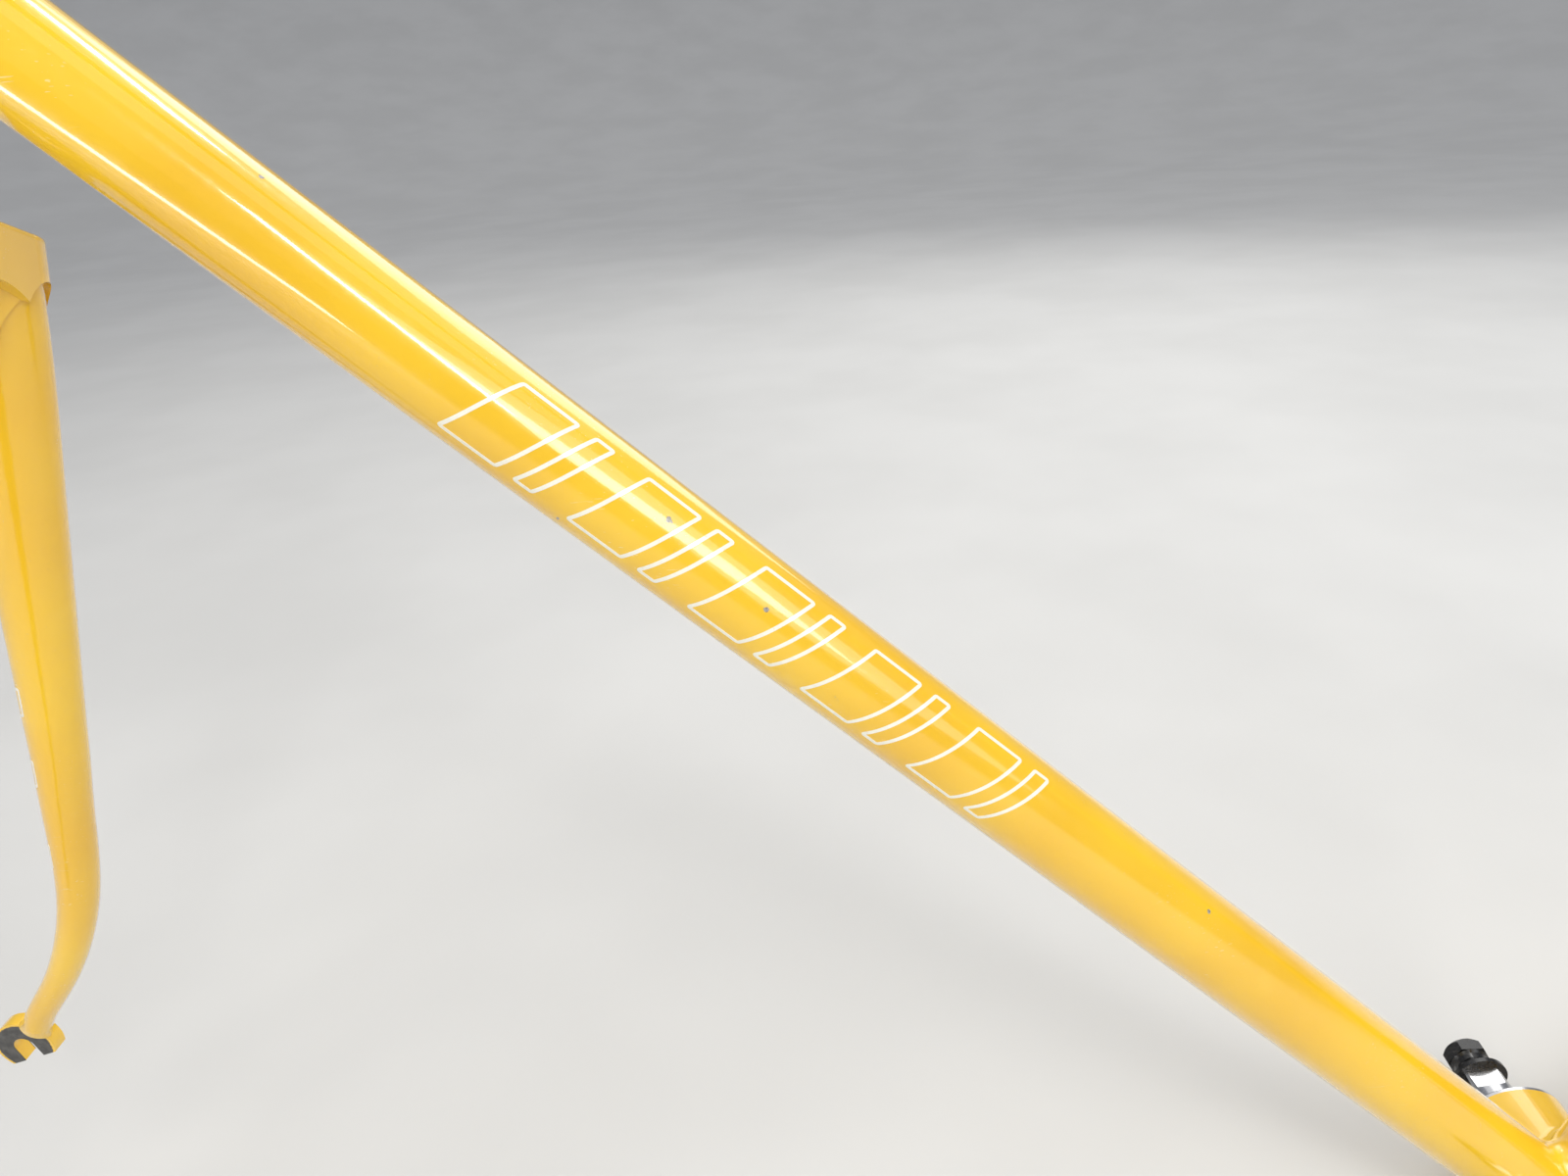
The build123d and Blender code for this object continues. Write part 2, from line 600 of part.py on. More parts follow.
def fork_tip(side):
    """A forged tip: a round plate with a slot for the axle, flared up into the blade's end."""
    far = FRONT_SPACING + TIP_THICKNESS
    plate = tip_disc(TIP_RADIUS, FRONT_SPACING, far)
    end = BLADE_RUN - BLADE_STOP
    stations = (end, end + 5.0, end + 12.0)
    radii = ((BLADE_END[0], BLADE_END[1]), (BLADE_END[0] + 1.0, BLADE_END[1] - 1.0), (11.0, TIP_THICKNESS / 2 - 0.1))
    planes = [blade_plane(run) for run in stations]
    planes[-1] = Plane(origin=Vector(planes[-1].origin.X, (FRONT_SPACING + far) / 2, planes[-1].origin.Z),
                       x_dir=planes[-1].x_dir, z_dir=planes[-1].z_dir)
    neck = ellipse_loft(planes, radii)
    neck = without(neck, [tip_disc(TIP_RADIUS, FRONT_SPACING - 20, FRONT_SPACING), tip_disc(TIP_RADIUS, far, far + 20)])
    tongue_plane = blade_plane(end - 8.0)
    tongue = BLADE_HOLLOW & (tongue_plane * Pos(0, 0, 15) * Box(60, 60, 30))
    blank = plate + neck
    slot_way = Vector(math.sin(TIP_SLOT_TILT), 0, -math.cos(TIP_SLOT_TILT))
    cut_place = Plane(origin=FRONT_AXLE, x_dir=(0, 1, 0), z_dir=slot_way)
    slot = cut_place * Pos(0, 0, 25) * Box(200, 2 * AXLE_SLOT, 50)
    foot = cut_place * Pos(0, 0, TIP_LEG + 15) * Box(200, 60, 30)
    hole = tip_disc(AXLE_SLOT, 0, 90)
    return mirrored(without(blank, [slot, foot, hole]) + tongue, side)


# ---------------------------------------------------------------- bottom bracket

def bearing_place(side):
    """Z along the spindle, from the middle of one bearing outwards."""
    return Plane(origin=(0, side * BEARING_MIDDLE, 0), x_dir=(1, 0, 0), z_dir=(0, side, 0))


def bearing_groove():
    return groove(BEARING_PITCH, 0, BEARING_BALL + RUNNING_FIT)


def bearing_outer(side):
    return bearing_place(side) * (ring(SLEEVE_BORE, 12.35, -BEARING_HALF, BEARING_HALF) - bearing_groove())


def bearing_inner(side):
    return bearing_place(side) * (ring(10.15, SPINDLE_RADIUS, -BEARING_HALF, BEARING_HALF) - bearing_groove())


def bearing_balls(side):
    return bearing_place(side) * Compound(ball_ring(BEARING_PITCH, 0, BEARING_BALL, BEARING_BALLS))


def bearing_cage(side):
    """A thin band with a round pocket for each ball."""
    band = ring(11.75, 10.75, -2.3, 2.3)
    pocket = Rot(0, 90, 0) * Cylinder(BEARING_BALL + RUNNING_FIT, 4.0)
    pockets = [Rot(0, 0, 360 * number / BEARING_BALLS) * Pos(BEARING_PITCH, 0, 0) * pocket
               for number in range(BEARING_BALLS)]
    return bearing_place(side) * without(band, pockets)


def bearing_seals(side):
    """The thin seals on both faces of one bearing."""
    faces = [ring(12.35, 10.35, 2.6, 3.2), ring(12.35, 10.35, -3.2, -2.6)]
    return bearing_place(side) * Compound(faces)


def bb_cup(side):
    """A threaded cup with a thin flange against the shell and a splined mouth for its tool."""
    inner_end = 18.0
    lip = SHELL_HALF - 0.3
    mouth = 13.3
    flange = SHELL_HALF + CUP_FLANGE
    body = turned((SLEEVE_RADIUS, inner_end), (SHELL_BORE, inner_end), (SHELL_BORE, SHELL_HALF), (19.5, SHELL_HALF),
                  (19.5, flange - 0.5), (19.0, flange), (mouth, flange), (mouth, lip), (SLEEVE_RADIUS, lip))
    splines = 20
    for number in range(splines):
        body = body - Rot(0, 0, 360 * number / splines) * Pos(mouth, 0, flange) * Cylinder(0.9, 10.0)
    return Plane(origin=BRACKET, x_dir=(1, 0, 0), z_dir=(0, side, 0)) * body


def bb_sleeve():
    """The plain tube that carries both bearings, with a stop shoulder inside each."""
    stop = BEARING_MIDDLE - BEARING_HALF
    half = SHELL_HALF - 0.3
    return SPINDLE * turned((SLEEVE_RADIUS, -half), (SLEEVE_RADIUS, half), (SLEEVE_BORE, half), (SLEEVE_BORE, stop),
                            (13.0, stop), (13.0, -stop), (SLEEVE_BORE, -stop), (SLEEVE_BORE, -half))


def square_end():
    """The tapered square at the spindle's drive-side end, running out into the round shaft."""
    taper_start = 47.5
    flat_half = SQUARE_HALF + (SPINDLE_HALF - taper_start) * SQUARE_GROWTH
    run_out = 2.2
    sizes = ((SPINDLE_HALF, SQUARE_HALF), (taper_start, flat_half))
    taper = loft([Plane(origin=(0, 0, height)) * Rectangle(2 * half, 2 * half) for height, half in sizes])
    wide = flat_half + run_out
    fade_sizes = ((taper_start, flat_half), (taper_start - run_out, wide))
    fade = loft([Plane(origin=(0, 0, height)) * Rectangle(2 * half, 2 * half) for height, half in fade_sizes])
    shaft = ring(SPINDLE_RADIUS, 0, BEARING_MIDDLE, SPINDLE_HALF)
    below = ring(SPINDLE_RADIUS, 0, BEARING_MIDDLE, taper_start - run_out)
    return ((taper + fade) & shaft) + below


def bb_spindle():
    """The spindle: waisted between the bearings, square and tapered at both ends, drilled for its bolts."""
    shoulder = BEARING_MIDDLE - BEARING_HALF
    middle = turned((0, -BEARING_MIDDLE), (SPINDLE_RADIUS, -BEARING_MIDDLE), (SPINDLE_RADIUS, -shoulder),
                    (9.6, -shoulder), (9.6, -shoulder + 1.5), (7.2, -shoulder + 6.0), (7.2, shoulder - 6.0),
                    (9.6, shoulder - 1.5), (9.6, shoulder), (SPINDLE_RADIUS, shoulder),
                    (SPINDLE_RADIUS, BEARING_MIDDLE), (0, BEARING_MIDDLE))
    end = square_end()
    whole = middle + end + Rot(180, 0, 0) * end
    holes = [Pos(0, 0, way * (SPINDLE_HALF - BOLT_REACH / 2)) * Cylinder(BOLT_RADIUS, BOLT_REACH) for way in (-1, 1)]
    return SPINDLE * Rot(0, 0, SQUARE_TURN) * without(whole, holes)


BOLT_RADIUS = 4.0
BOLT_REACH = 20.0


def crank_bolt(side):
    """A bolt with a thin flange, a hollowed neck and a domed hexagonal head."""
    flange = SPINDLE_HALF + 1.7
    head = SPINDLE_HALF + 8.6
    top = SPINDLE_HALF + 15.0
    flats_half = 7.5
    stem = turned((0, SPINDLE_HALF - BOLT_REACH), (BOLT_RADIUS, SPINDLE_HALF - BOLT_REACH),
                  (BOLT_RADIUS, SPINDLE_HALF), (10.4, SPINDLE_HALF), (10.4, flange), (9.2, flange + 0.6),
                  (7.0, flange + 2.0), (6.3, flange + 4.0), (6.6, head - 1.0), (7.4, head), (0, head))
    dome = turned((0, head), (8.7, head), (8.7, top - 2.6), (7.4, top - 0.9), (5.6, top - 0.2), (3.6, top), (0, top))
    hexagon = Pos(0, 0, head) * extrude(RegularPolygon(flats_half, 6, major_radius=False), amount=top - head)
    place = Plane(origin=BRACKET, x_dir=(1, 0, 0), z_dir=(0, side, 0))
    return place * (stem + (hexagon & dome))


# ---------------------------------------------------------------- write every piece

os.makedirs("parts", exist_ok=True)

save(head_tube(), "head_tube")
save(down_tube(), "down_tube")
save(top_tube(), "top_tube")
save(seat_tube(), "seat_tube")
save(bb_shell(), "bb_shell")
save(bead([HEAD_BAR, DOWN_BAR], HEAD_FILLET), "braze_head_down")
save(bead([HEAD_BAR, TOP_BAR], TOP_FILLET), "braze_head_top")
save(braze_seat_top(), "braze_seat_top")
save(bead([SHELL_BAR, DOWN_BAR, SEAT_BAR], SHELL_FILLET), "braze_shell")
save(seatstay_caps(), "seatstay_caps")
save(seatstay_bridge(), "seatstay_bridge")
save(chainstay_bridge(), "chainstay_bridge")
save(seat_binder_ears(), "seat_binder_ears")
save(seat_binder_bolt(), "seat_binder_bolt")
save(seat_binder_nut(), "seat_binder_nut")
save(at_lower(lower_cup_shape()), "headset_lower_cup")
save(at_upper(lower_cup_shape()), "headset_upper_cup")
save(at_lower(retainer_shape()), "lower_ball_retainer")
save(at_upper(retainer_shape()), "upper_ball_retainer")
HEADSET_BALL_SET = Compound(ball_ring(HEADSET_PITCH, HEADSET_BALL_HEIGHT, HEADSET_BALL, HEADSET_BALLS))
save(at_lower(HEADSET_BALL_SET), "lower_balls")
save(at_upper(HEADSET_BALL_SET), "upper_balls")
save(at_lower(lower_cone_shape()), "crown_race")
save(headset_top_cone(), "headset_top_cone")
save(headset_washer(), "headset_washer")
save(headset_locknut(), "headset_locknut")
save(steerer(), "steerer")
save(fork_crown(), "fork_crown")
save(bb_sleeve(), "bb_sleeve")
save(bb_spindle(), "bb_spindle")
for name, side in SIDES:
    save(chainstay(side), f"chainstay_{name}")
    save(seatstay(side), f"seatstay_{name}")
    save(track_end_plate(side), f"track_end_{name}")
    save(fork_blade(side), f"fork_blade_{name}")
    save(fork_tip(side), f"fork_tip_{name}")
    save(bb_cup(side), f"bb_cup_{name}")
    save(bearing_outer(side), f"bb_bearing_outer_{name}")
    save(bearing_inner(side), f"bb_bearing_inner_{name}")
    save(bearing_balls(side), f"bb_balls_{name}")
    save(bearing_cage(side), f"bb_cage_{name}")
    save(bearing_seals(side), f"bb_seals_{name}")
    save(crank_bolt(side), f"crank_bolt_{name}")
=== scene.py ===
import json
import math

import bmesh
import bpy
from mathutils import Matrix, Vector
from mathutils.bvhtree import BVHTree


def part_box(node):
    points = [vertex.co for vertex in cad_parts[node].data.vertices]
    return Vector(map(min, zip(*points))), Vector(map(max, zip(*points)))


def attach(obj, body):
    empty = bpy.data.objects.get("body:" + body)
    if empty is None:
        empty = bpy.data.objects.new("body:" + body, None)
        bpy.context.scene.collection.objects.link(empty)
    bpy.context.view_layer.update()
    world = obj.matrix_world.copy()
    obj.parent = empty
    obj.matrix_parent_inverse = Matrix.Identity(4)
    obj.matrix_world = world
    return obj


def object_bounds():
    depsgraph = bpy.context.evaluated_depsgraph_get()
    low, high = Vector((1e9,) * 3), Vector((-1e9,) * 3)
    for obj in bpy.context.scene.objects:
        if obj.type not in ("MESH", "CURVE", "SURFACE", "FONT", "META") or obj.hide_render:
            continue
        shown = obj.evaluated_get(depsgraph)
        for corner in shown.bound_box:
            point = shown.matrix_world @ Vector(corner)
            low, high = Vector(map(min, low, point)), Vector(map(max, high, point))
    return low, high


# Lugless track frame in glossy yellow: materials for every CAD node, painted marks, floor, light and camera.
# Metres, in the frame of the CAD: origin at the bottom bracket, +X to the rear, +Y to the drive side, +Z up.

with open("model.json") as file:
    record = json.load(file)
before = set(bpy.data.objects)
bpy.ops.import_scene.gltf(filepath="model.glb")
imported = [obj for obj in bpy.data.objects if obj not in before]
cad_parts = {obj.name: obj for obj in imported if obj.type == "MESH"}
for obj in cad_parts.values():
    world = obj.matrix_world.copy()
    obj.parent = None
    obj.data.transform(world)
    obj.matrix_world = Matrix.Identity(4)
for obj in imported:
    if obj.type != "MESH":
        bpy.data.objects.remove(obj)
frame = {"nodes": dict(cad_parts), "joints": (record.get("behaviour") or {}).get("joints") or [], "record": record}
CAD_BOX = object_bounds()
NODES = frame["nodes"]

STEERING = next(joint for joint in frame["joints"] if joint["name"] == "steering")
CROWN_SEAT = Vector(STEERING["pos_m"])
UP_STEERER = Vector(STEERING["axis"]).normalized()
DOWN_MEETS = 0.0469         # up the steering axis, to where the down tube's centre line meets it
DOWN_TOP = CROWN_SEAT + UP_STEERER * DOWN_MEETS
DOWN_RADIUS = 0.0143
BRACKET = Vector((0.0, 0.0, 0.0))
AXLE_MOUNT = next(mount for mount in frame["record"]["mounts"] if mount["name"] == "front_axle")
FRONT_AXLE = Vector(AXLE_MOUNT["pos_m"])

# Bare steel on the fork tips, each as the start and end of a short fade
TIP_FACE = 0.050            # inner face of each tip, from the middle
INNER_FADE = (TIP_FACE + 0.0002, TIP_FACE + 0.0004)
OUTER_FADE = (TIP_FACE + 0.0062, TIP_FACE + 0.0064)
BARE_FADE = (0.0112, 0.0118)                    # from the axle

# Colours, linear
YELLOW = (0.84, 0.53, 0.022, 1.0)
YELLOW_DEEP = (0.76, 0.43, 0.014, 1.0)
PRIMER = (0.32, 0.30, 0.27, 1.0)
BARE = (0.10, 0.085, 0.07, 1.0)
DIRT = (0.10, 0.075, 0.035, 1.0)
YELLOW_PALE = (0.95, 0.72, 0.10, 1.0)
YELLOW_RUBBED = (0.9, 0.80, 0.45, 1.0)
STEEL_DARK = (0.018, 0.017, 0.016, 1.0)
STEEL_WORN = (0.085, 0.08, 0.075, 1.0)
GRIME = (0.12, 0.10, 0.08, 1.0)
BLACK = (0.010, 0.010, 0.011, 1.0)
BLACK_WORN = (0.030, 0.029, 0.028, 1.0)
BLACK_RUBBED = (0.22, 0.20, 0.18, 1.0)
RUBBER = (0.012, 0.012, 0.012, 1.0)
RUBBER_WORN = (0.04, 0.037, 0.033, 1.0)
MARK_WHITE = (0.82, 0.80, 0.70, 1.0)
FLOOR_PALE = (0.60, 0.597, 0.585, 1.0)
FLOOR_SHADE = (0.56, 0.557, 0.545, 1.0)
SKY = (0.86, 0.90, 1.0, 1.0)
WARM, WHITE, COOL = (1.0, 0.95, 0.86), (1.0, 0.99, 0.96), (0.92, 0.96, 1.0)    # lamps


# ---------------------------------------------------------------- node helpers

class Nodes:
    """A short way to build one material's node tree."""

    def __init__(self, name):
        self.material = bpy.data.materials.new(name)
        self.material.use_nodes = True
        self.tree = self.material.node_tree
        self.shader = self.tree.nodes["Principled BSDF"]
        self.place = self.add("ShaderNodeTexCoord").outputs["Object"]

    def add(self, kind, **settings):
        node = self.tree.nodes.new(kind)
        for name, value in settings.items():
            setattr(node, name, value)
        return node

    def join(self, source, target):
        self.tree.links.new(source, target)

    def put(self, socket, value):
        """Link an output to a socket, or set the socket's own value."""
        if isinstance(value, bpy.types.NodeSocket):
            self.join(value, socket)
        else:
            socket.default_value = value

    def math(self, operation, first, second=0.0, clamp=False):
        node = self.add("ShaderNodeMath", operation=operation, use_clamp=clamp)
        self.put(node.inputs[0], first)
        self.put(node.inputs[1], second)
        return node.outputs[0]

    def noise(self, scale, detail=3.0, roughness=0.55, place=None):
        node = self.add("ShaderNodeTexNoise")
        self.join(place or self.place, node.inputs["Vector"])
        node.inputs["Scale"].default_value = scale
        node.inputs["Detail"].default_value = detail
        node.inputs["Roughness"].default_value = roughness
        return node.outputs["Fac"]

    def cells(self, scale):
        node = self.add("ShaderNodeTexVoronoi")
        self.join(self.place, node.inputs["Vector"])
        node.inputs["Scale"].default_value = scale
        return node

    def between(self, value, low, high, start=0.0, end=1.0):
        """A smooth step from start to end as a value goes from low to high."""
        node = self.add("ShaderNodeMapRange", interpolation_type="SMOOTHSTEP")
        self.put(node.inputs["Value"], value)
        for name, number in (("From Min", low), ("From Max", high), ("To Min", start), ("To Max", end)):
            node.inputs[name].default_value = number
        return node.outputs["Result"]

    def blend(self, share, first, second):
        """A mix of two colours."""
        node = self.add("ShaderNodeMix", data_type="RGBA")
        self.put(node.inputs[0], share)
        self.put(node.inputs[6], first)
        self.put(node.inputs[7], second)
        return node.outputs[2]

    def stretched(self, scale):
        """The place, scaled differently along each axis."""
        node = self.add("ShaderNodeMapping")
        self.join(self.place, node.inputs["Vector"])
        node.inputs["Scale"].default_value = scale
        return node.outputs["Vector"]

    def bump(self, height, strength, distance, before=None):
        node = self.add("ShaderNodeBump")
        self.put(node.inputs["Height"], height)
        node.inputs["Strength"].default_value = strength
        node.inputs["Distance"].default_value = distance
        if before:
            self.join(before, node.inputs["Normal"])
        return node.outputs["Normal"]

    def near(self, spot, reach, wobble):
        """A mask of 1 within a rough-edged distance of a spot on the object."""
        node = self.add("ShaderNodeVectorMath", operation="DISTANCE")
        self.join(self.place, node.inputs[0])
        node.inputs[1].default_value = spot
        away = self.math("ADD", node.outputs["Value"], wobble)
        return self.between(away, reach * 0.85, reach * 1.15, 1.0, 0.0)

    def surface(self, color, roughness, metallic=0.0, normal=None, **sockets):
        self.put(self.shader.inputs["Base Color"], color)
        self.put(self.shader.inputs["Roughness"], roughness)
        self.put(self.shader.inputs["Metallic"], metallic)
        if normal:
            self.join(normal, self.shader.inputs["Normal"])
        for name, value in sockets.items():
            self.shader.inputs[name.replace("_", " ")].default_value = value
        return self.material


# ---------------------------------------------------------------- places on the tubes

class Tube:
    """A tube's centre line, with a way up across it, to place marks and chips on its surface."""

    def __init__(self, start, end):
        self.start = start
        self.along = (end - start).normalized()
        self.up = self.along.cross(Vector((0.0, 1.0, 0.0))).normalized()
        if self.up.z < 0:
            self.up = -self.up
        self.side = Vector((0.0, 1.0, 0.0))

    def centre(self, run):
        return self.start + self.along * run

    def outward(self, turn):
        """The way out from the centre line, turned from the top towards the drive side."""
        return self.up * math.cos(turn) + self.side * math.sin(turn)

    def on(self, run, turn, radius):
        return self.centre(run) + self.outward(turn) * radius


def slice_centre(node, height, half=0.006):
    """The middle of a node's vertices near a height."""
    near = [v.co for v in NODES[node].data.vertices if abs(v.co.z - height) < half]
    low = Vector([min(co[axis] for co in near) for axis in range(3)])
    high = Vector([max(co[axis] for co in near) for axis in range(3)])
    middle = (low + high) / 2
    return Vector((middle.x, middle.y, height))


DOWN_TUBE = Tube(DOWN_TOP, BRACKET)

# Chips on the down tube: run from the head end, turn from the top in degrees, and reach.
# The first two are where the photograph shows chips. The third isn't in it, and is added wear.
CHIPS = ((0.219, -51, 0.0008), (0.2535, -65, 0.0007), (0.421, -38, 0.0006))
CHIP_SPOTS = [(DOWN_TUBE.on(run, math.radians(turn), DOWN_RADIUS), reach) for run, turn, reach in CHIPS]


# ---------------------------------------------------------------- materials

def orange_peel(m):
    """The faint ripple of sprayed paint."""
    return m.bump(m.noise(420.0, 1.5, 0.4), 0.030, 0.0010)


def chipped(m, wobble, spots):
    """A mask of small scattered chips, and of one at each given spot."""
    cells = m.cells(95.0)
    rare = m.math("GREATER_THAN", m.math("FRACT", m.math("MULTIPLY", cells.outputs["Color"], 7.0)), 0.93)
    ragged = m.math("ADD", cells.outputs["Distance"], m.math("MULTIPLY", wobble, 36.0))
    chip = m.math("MULTIPLY", m.between(ragged, 0.05, 0.075, 1.0, 0.0), rare)
    for spot, reach in spots:
        chip = m.math("MAXIMUM", chip, m.near(spot, reach, wobble))
    return chip


def bare_faces(m, wobble):
    """A mask of the fork tips' flat faces near the axle, where the steel is bare."""
    split = m.add("ShaderNodeSeparateXYZ")
    m.join(m.place, split.inputs[0])
    across = m.math("ABSOLUTE", split.outputs["Y"])
    flat = m.add("ShaderNodeCombineXYZ")
    m.join(split.outputs["X"], flat.inputs["X"])
    m.join(split.outputs["Z"], flat.inputs["Z"])
    apart = m.add("ShaderNodeVectorMath", operation="DISTANCE")
    m.join(flat.outputs[0], apart.inputs[0])
    apart.inputs[1].default_value = (FRONT_AXLE.x, 0.0, FRONT_AXLE.z)
    ragged = m.math("ADD", apart.outputs["Value"], m.math("MULTIPLY", wobble, 0.4))
    faces = m.math("MAXIMUM", m.between(across, *INNER_FADE, 1.0, 0.0), m.between(across, *OUTER_FADE))
    return m.math("MULTIPLY", faces, m.between(ragged, *BARE_FADE, 1.0, 0.0))


def yellow_paint(name, spots=(), bare_tips=False):
    """Glossy yellow enamel under clear coat: orange peel, faint dust, small chips to primer and steel."""
    m = Nodes(name)
    drift = m.noise(9.0, 2.0)
    cloud = m.noise(55.0, 4.0)
    color = m.blend(m.between(drift, 0.35, 0.7), YELLOW, YELLOW_DEEP)
    color = m.blend(m.between(cloud, 0.5, 0.85, 0.0, 0.10), color, YELLOW_PALE)

    specks = m.between(m.noise(320.0, 5.0, 0.7), 0.62, 0.74)
    dust = m.math("MULTIPLY", specks, m.between(m.noise(24.0), 0.5, 0.7))
    color = m.blend(m.math("MULTIPLY", dust, 0.30), color, DIRT)

    wobble = m.math("MULTIPLY", m.math("SUBTRACT", m.noise(900.0, 3.0), 0.5), 0.0030)
    chip = chipped(m, wobble, spots)
    color = m.blend(chip, color, PRIMER)
    heart = m.between(m.noise(1400.0, 2.0), 0.5, 0.6)
    color = m.blend(m.math("MULTIPLY", chip, heart), color, BARE)

    hair = m.noise(40.0, 2.0, 0.5, m.stretched((1.0, 46.0, 46.0)))
    scratch = m.math("MULTIPLY", m.between(hair, 0.695, 0.71), m.between(m.noise(14.0, 1.0), 0.55, 0.65))
    color = m.blend(m.math("MULTIPLY", scratch, 0.45), color, YELLOW_RUBBED)

    rough = m.between(m.noise(180.0, 3.0), 0.3, 0.8, 0.16, 0.27)
    rough = m.math("ADD", rough, m.math("MULTIPLY", m.math("MAXIMUM", chip, dust), 0.35), clamp=True)
    worn = m.math("MAXIMUM", chip, m.math("MULTIPLY", scratch, 0.2))
    pits = m.bump(m.math("SUBTRACT", 1.0, worn), 0.5, 0.00016, orange_peel(m))

    metallic = 0.0
    if bare_tips:
        bare = bare_faces(m, wobble)
        steel = m.blend(m.between(m.noise(260.0, 4.0), 0.3, 0.75), STEEL_DARK, STEEL_WORN)
        color = m.blend(bare, color, steel)
        rough = m.math("MAXIMUM", rough, m.math("MULTIPLY", bare, 0.42))
        metallic = m.math("MULTIPLY", bare, 0.8)
    return m.surface(color, rough, metallic, pits, Coat_Weight=1.0, Coat_Roughness=0.035, Coat_IOR=1.52,
                     Specular_IOR_Level=0.5)


def polished(name, color, low, high, stretch, grime):
    """A bright metal with fine lines one way and a little grime in patches."""
    m = Nodes(name)
    lines = m.noise(160.0, 4.0, 0.65, m.stretched(stretch))
    patch = m.between(m.noise(90.0, 5.0, 0.65), 0.55, 0.8)
    dull = tuple(part * 0.72 for part in color[:3]) + (1.0,)
    tone = m.blend(m.between(lines, 0.3, 0.7, 0.0, 0.25), color, dull)
    tone = m.blend(m.math("MULTIPLY", patch, grime), tone, GRIME)
    rough = m.math("ADD", m.between(lines, 0.3, 0.7, low, high), m.math("MULTIPLY", patch, 0.18), clamp=True)
    normal = m.bump(lines, 0.12, 0.00008)
    return m.surface(tone, rough, 1.0, normal)


def black_steel():
    """Blackened steel, slightly glossy, rubbed bright in small spots."""
    m = Nodes("black_oxide")
    grain = m.noise(700.0, 4.0, 0.6)
    spots = m.between(m.noise(240.0, 5.0, 0.7), 0.6, 0.72)
    rub = m.math("MULTIPLY", spots, m.between(m.noise(60.0), 0.48, 0.6))
    color = m.blend(m.between(grain, 0.3, 0.8), BLACK, BLACK_WORN)
    color = m.blend(m.math("MULTIPLY", rub, 0.5), color, BLACK_RUBBED)
    rough = m.between(grain, 0.25, 0.8, 0.22, 0.40)
    return m.surface(color, rough, 0.55, m.bump(grain, 0.15, 0.00012), Coat_Weight=0.35, Coat_Roughness=0.16)


def seal_rubber():
    """Dull black rubber with a moulded grain."""
    m = Nodes("moulded_rubber")
    grain = m.noise(1500.0, 3.0)
    color = m.blend(m.between(m.noise(120.0), 0.4, 0.75), RUBBER, RUBBER_WORN)
    return m.surface(color, m.between(grain, 0.2, 0.8, 0.55, 0.75), 0.0, m.bump(grain, 0.2, 0.0001))


def mark_paint():
    """The thin white lines of the painted marks, a little worn."""
    m = Nodes("mark_white")
    wear = m.between(m.noise(600.0, 4.0, 0.7), 0.62, 0.75)
    color = m.blend(m.math("MULTIPLY", wear, 0.5), MARK_WHITE, YELLOW)
    rough = m.between(m.noise(200.0), 0.3, 0.7, 0.22, 0.34)
    return m.surface(color, rough, 0.0, orange_peel(m), Coat_Weight=1.0, Coat_Roughness=0.04)


def floor_paper():
    """A plain pale studio floor."""
    m = Nodes("pale_floor")
    color = m.blend(m.between(m.noise(3.0, 3.0), 0.3, 0.7), FLOOR_PALE, FLOOR_SHADE)
    return m.surface(color, 0.65, 0.0, m.bump(m.noise(240.0, 3.0), 0.05, 0.0004))


# Each metal slot: material name, colour, lowest and highest roughness, stretch of its fine lines, and grime
METALS = {
    "headset_chrome": ("bright_chrome", (0.80, 0.81, 0.82, 1.0), 0.05, 0.11, (1.0, 1.0, 6.0), 0.12),
    "bearing_steel": ("ground_steel", (0.62, 0.62, 0.63, 1.0), 0.16, 0.30, (1.0, 12.0, 1.0), 0.25),
    "retainer_steel": ("drawn_steel", (0.42, 0.42, 0.43, 1.0), 0.28, 0.42, (3.0, 1.0, 9.0), 0.25),
    "cup_alloy": ("turned_alloy", (0.72, 0.72, 0.73, 1.0), 0.14, 0.26, (1.0, 14.0, 1.0), 0.25),
}


def give(nodes, material):
    for name in nodes:
        mesh = NODES[name].data
        mesh.materials.clear()
        mesh.materials.append(material)


def paint_nodes():
    """Each record slot's nodes get their detailed material."""
    slots = {}
    for part in frame["record"]["subparts"]:
        slots.setdefault(part["material_slot"], []).append(part["node"])
    tips = ["fork_tip_left", "fork_tip_right"]
    enamelled = [name for name in slots["yellow_paint"] if name not in tips]
    give(enamelled, yellow_paint("enamel_yellow", CHIP_SPOTS))
    give(tips, yellow_paint("enamel_yellow_tips", bare_tips=True))
    for slot, settings in METALS.items():
        give(slots[slot], polished(*settings))
    give(slots["black_steel"], black_steel())
    give(slots["seal_rubber"], seal_rubber())


# ---------------------------------------------------------------- painted marks

MARK_RAISE = 0.00007        # how far a painted line stands proud, and how far it reaches below the surface
MARK_STROKE = 0.0011
MARK_CORNER = 0.6           # a corner's radius, in strokes
CORNER_STEPS = 4
FINE = 0.0012               # longest step along a line, so that it follows the tube's curve
RAY_START = 0.045           # from the centre line, outside every tube

# Down tube: pairs of a broad and a slim outline on each side
PAIRS = 5
PAIR_FIRST, PAIR_PITCH = 0.1735, 0.0385         # from the head end
PAIR_TURN = math.radians(72)                    # from the top of the tube
BROAD_WIDE, SLIM_WIDE, PAIR_TALL, PAIR_LEAN = 0.0165, 0.0052, 0.023, 0.45
SLIM_AFTER = 0.0165         # from the broad outline's middle to the slim one's

